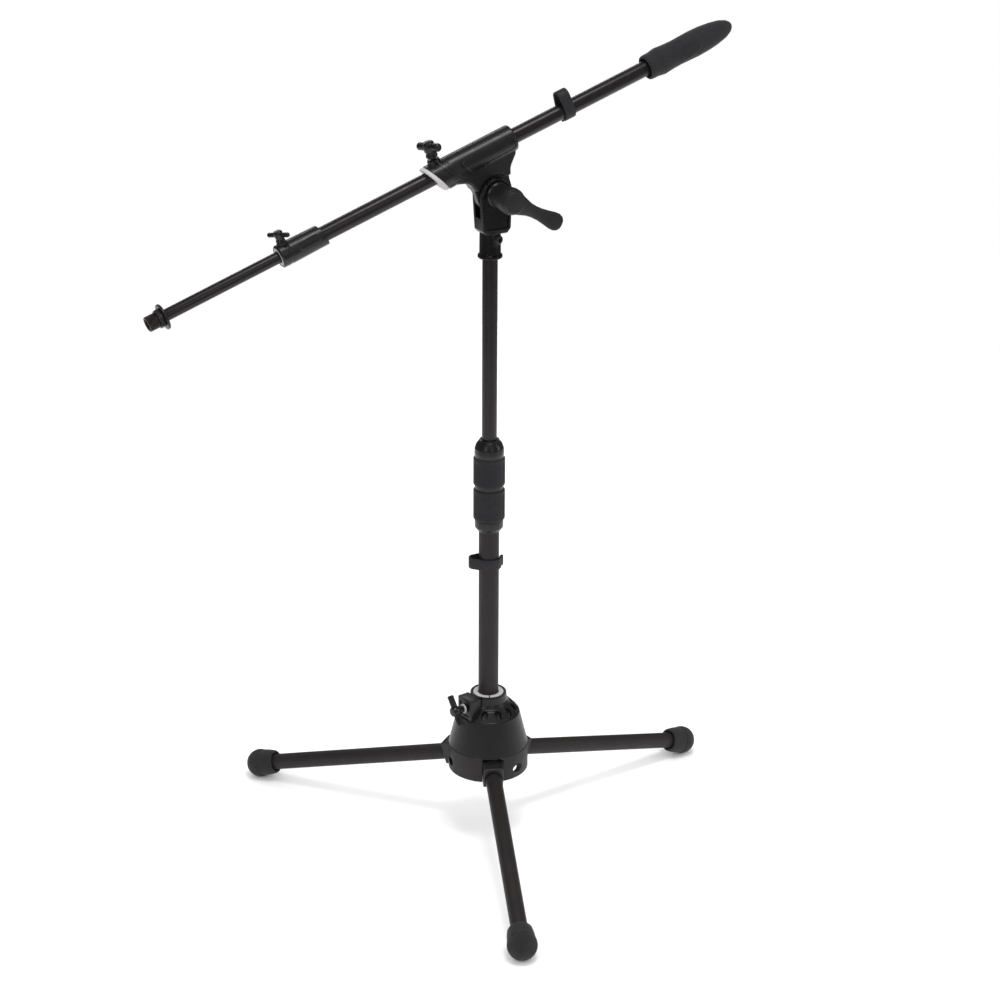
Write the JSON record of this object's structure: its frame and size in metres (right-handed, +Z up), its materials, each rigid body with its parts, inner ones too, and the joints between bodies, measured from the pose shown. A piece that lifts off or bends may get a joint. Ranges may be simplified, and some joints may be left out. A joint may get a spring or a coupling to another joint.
{
  "type": "boom microphone stand",
  "caption": "Short boom microphone stand: folding tripod on a die-cast hub, twist-clutch column, tilting telescopic boom with screw clamps and a threaded microphone end.",
  "frame": {"origin": "middle of the stand's bounding box at floor level, where the rubber feet stand", "axes": "+Z up along the column, +X from the microphone end towards the grip end of the boom, -Y towards the side that carries the tilt lever"},
  "size_m": [0.68, 0.5229, 0.8799],
  "materials": {
    "housing": "satin black paint on a zinc casting",
    "leg_roots": "satin black paint on a zinc casting",
    "boom_casting": "satin black paint on a zinc casting",
    "lower_tubes": "fine matt black powder coat on steel tube",
    "gloss_tubes": "semi-gloss black coat on steel tube",
    "black_plastic": "satin black moulded plastic",
    "lever_plastic": "fine-grained black moulded plastic",
    "clip_plastic": "matt charcoal moulded plastic",
    "grip_rubber": "matt charcoal rubber",
    "foot_rubber": "matt dark grey rubber",
    "grey_liner": "light grey moulded plastic",
    "black_steel": "black oxide on steel",
    "bright_steel": "bright drawn steel"
  },
  "bodies": {
    "base": {"base_housing": "housing", "base_skirt": "housing", "column_bushing": "grey_liner", "leg_pin_1": "bright_steel", "leg_pin_2": "bright_steel", "leg_pin_3": "bright_steel"},
    "base_knob": {"base_screw": "black_steel", "base_handle": "black_plastic", "base_screw_washer": "grey_liner"},
    "leg_1": {"leg_root_1": "leg_roots", "leg_tube_1": "lower_tubes", "foot_1": "foot_rubber"},
    "leg_2": {"leg_root_2": "leg_roots", "leg_tube_2": "lower_tubes", "foot_2": "foot_rubber"},
    "leg_3": {"leg_root_3": "leg_roots", "leg_tube_3": "lower_tubes", "foot_3": "foot_rubber"},
    "column": {"lower_tube": "lower_tubes", "lower_tube_plug": "black_plastic", "clutch_body": "black_plastic", "clutch_lower_grip": "grip_rubber"},
    "column_clip": {"column_cable_clip": "clip_plastic"},
    "clutch": {"clutch_nut": "black_plastic", "clutch_upper_grip": "grip_rubber"},
    "collet": {"clutch_collet": "grey_liner"},
    "mast": {"upper_tube": "gloss_tubes", "upper_tube_guide": "black_plastic", "swivel_body": "boom_casting", "swivel_set_screw": "black_steel", "pivot_bolt": "black_steel"},
    "lever": {"pivot_lever": "lever_plastic", "pivot_washer": "black_plastic"},
    "boom_holder": {"boom_clamp": "boom_casting", "boom_clamp_liner": "grey_liner", "friction_disc_front": "bright_steel", "friction_disc_rear": "bright_steel"},
    "clamp_knob": {"clamp_screw": "black_steel", "clamp_handle": "black_plastic"},
    "boom": {"boom_outer_tube": "gloss_tubes", "boom_grip": "grip_rubber", "telescope_sleeve": "boom_casting", "telescope_sleeve_ring": "grey_liner"},
    "boom_clip": {"boom_cable_clip": "clip_plastic"},
    "telescope_knob": {"telescope_screw": "black_steel", "telescope_handle": "black_plastic"},
    "inner_boom": {"boom_inner_tube": "gloss_tubes", "inner_tube_guide": "black_plastic", "mic_end_stud": "boom_casting"},
    "lock_nut": {"mic_lock_nut": "black_steel"},
    "thread_adapter": {"mic_thread_adapter": "black_steel"}
  },
  "joints": [
    {"name": "leg_1_fold", "type": "hinge", "parent": "base", "child": "leg_1", "pos_m": [0.07321, 0.02573, 0.085], "axis": [-0.1461, 0.9893, 0], "range_deg": [0, 74.8]},
    {"name": "leg_2_fold", "type": "hinge", "parent": "base", "child": "leg_2", "pos_m": [0.02006, 0.04677, 0.085], "axis": [-0.7837, -0.6211, 0], "range_deg": [0, 74.8]},
    {"name": "leg_3_fold", "type": "hinge", "parent": "base", "child": "leg_3", "pos_m": [0.02841, -0.00977, 0.085], "axis": [0.9298, -0.3681, 0], "range_deg": [0, 74.8]},
    {"name": "base_knob_turn", "type": "hinge", "parent": "base", "child": "base_knob", "pos_m": [-0.00396, 0.01434, 0.153], "axis": [-0.9893, -0.1461, 0], "range_deg": [-180, 180]},
    {"name": "column_slide", "type": "slide", "parent": "base", "child": "column", "axis": [0, 0, 1], "range_m": [-0.09, 0.025]},
    {"name": "column_clip_slide", "type": "slide", "parent": "column", "child": "column_clip", "axis": [0, 0, 1], "range_m": [-0.05, 0.028]},
    {"name": "clutch_turn", "type": "hinge", "parent": "column", "child": "clutch", "pos_m": [0.04056, 0.02091, 0.425], "axis": [0, 0, 1], "range_deg": [-20, 120]},
    {"name": "mast_swivel", "type": "hinge", "parent": "column", "child": "collet", "pos_m": [0.04056, 0.02091, 0.445], "axis": [0, 0, 1], "continuous": true},
    {"name": "mast_slide", "type": "slide", "parent": "collet", "child": "mast", "axis": [0, 0, 1], "range_m": [-0.19, 0.055]},
    {"name": "boom_tilt", "type": "hinge", "parent": "mast", "child": "boom_holder", "pos_m": [0.04356, 0.02091, 0.73], "axis": [0, 1, 0], "range_deg": [-45, 90]},
    {"name": "lever_turn", "type": "hinge", "parent": "mast", "child": "lever", "pos_m": [0.04356, -0.00909, 0.73], "axis": [0, -1, 0], "range_deg": [-120, 60]},
    {"name": "clamp_knob_turn", "type": "hinge", "parent": "boom_holder", "child": "clamp_knob", "pos_m": [-0.02989, 0.02091, 0.78667], "axis": [-0.3256, 0, 0.9455], "range_deg": [-180, 180]},
    {"name": "boom_slide", "type": "slide", "parent": "boom_holder", "child": "boom", "axis": [-0.9455, 0, -0.3256], "range_m": [-0.105, 0.045]},
    {"name": "boom_clip_slide", "type": "slide", "parent": "boom", "child": "boom_clip", "axis": [0.9455, 0, 0.3256], "range_m": [-0.01, 0.09]},
    {"name": "telescope_slide", "type": "slide", "parent": "boom", "child": "inner_boom", "axis": [-0.9455, 0, -0.3256], "range_m": [-0.105, 0.11]},
    {"name": "telescope_knob_turn", "type": "hinge", "parent": "boom", "child": "telescope_knob", "pos_m": [-0.19644, 0.02091, 0.71748], "axis": [-0.3256, 0, 0.9455], "range_deg": [-180, 180]},
    {"name": "lock_nut_turn", "type": "hinge", "parent": "inner_boom", "child": "lock_nut", "pos_m": [-0.32424, 0.02091, 0.65095], "axis": [-0.9455, 0, -0.3256], "range_deg": [-180, 180]},
    {"name": "thread_adapter_turn", "type": "hinge", "parent": "inner_boom", "child": "thread_adapter", "pos_m": [-0.33228, 0.02091, 0.64818], "axis": [-0.9455, 0, -0.3256], "range_deg": [-180, 180]}
  ]
}
